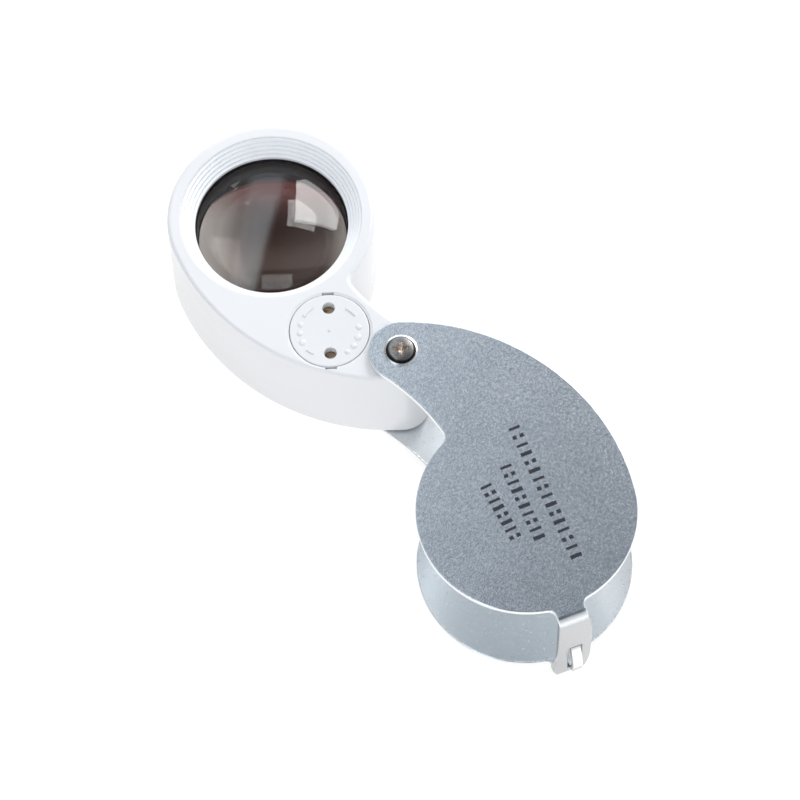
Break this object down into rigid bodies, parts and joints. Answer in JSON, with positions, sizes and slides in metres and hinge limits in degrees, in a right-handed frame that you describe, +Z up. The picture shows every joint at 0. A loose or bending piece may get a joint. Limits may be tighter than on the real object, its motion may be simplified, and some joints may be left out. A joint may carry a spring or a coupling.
{
  "type": "folding viewing loupe",
  "caption": "Folding pocket loupe: a glass lens and its lamp in a white moulded unit that swings out from between two bent sheet-metal plates about a screw pivot.",
  "frame": {"origin": "centre of the round case's underside, on the face it rests on", "axes": "+Z up through the case, towards the lens mouth; +Y from the round case's centre to the pivot; +X towards the case's long convex side"},
  "size_m": [0.0391, 0.1049, 0.0228],
  "materials": {
    "satin_silver": "fine satin sheet with bright cut edges",
    "white_abs": "glossy moulded white",
    "lens_glass": "polished, thin coating",
    "black_plastic": "matt black moulding",
    "gunmetal": "dark plated steel",
    "bright_nickel": "bright nickel",
    "spring_bronze": "rolled spring bronze",
    "cell_steel": "plain steel can",
    "board_green": "solder mask",
    "red_insulation": "wire insulation",
    "led_epoxy": "clear epoxy"
  },
  "bodies": {
    "case": {"case_shell": "satin_silver", "pivot_tube": "bright_nickel", "pivot_head_washer": "bright_nickel", "pivot_screw_top": "gunmetal", "pivot_screw_bottom": "gunmetal", "friction_washer_lower": "spring_bronze", "friction_washer_upper": "spring_bronze"},
    "lens_unit": {"lens_housing": "white_abs", "housing_base": "white_abs", "base_screw_1": "gunmetal", "base_screw_2": "gunmetal", "base_screw_3": "gunmetal", "lens": "lens_glass", "lens_barrel": "black_plastic", "lens_retaining_ring": "black_plastic", "battery_cell_1": "cell_steel", "battery_cell_2": "cell_steel", "battery_cell_3": "cell_steel", "battery_spring": "bright_nickel", "side_contact": "spring_bronze", "switch_leaf": "spring_bronze", "circuit_board": "board_green", "resistor": "black_plastic", "led_1": "led_epoxy", "led_2": "led_epoxy", "led_wire_1": "red_insulation", "led_wire_2": "black_plastic"},
    "cover": {"battery_cover": "white_abs", "cover_contact": "spring_bronze"}
  },
  "joints": [
    {"name": "fold", "type": "hinge", "parent": "case", "child": "lens_unit", "pos_m": [0, 0.034, 0.011], "axis": [0, 0, 1], "range_deg": [-4.8, 175.2]},
    {"name": "cover_turn", "type": "hinge", "parent": "lens_unit", "child": "cover", "pos_m": [-0.00687, 0.04416, 0.0195], "axis": [0, 0, 1], "range_deg": [0, 45]}
  ]
}
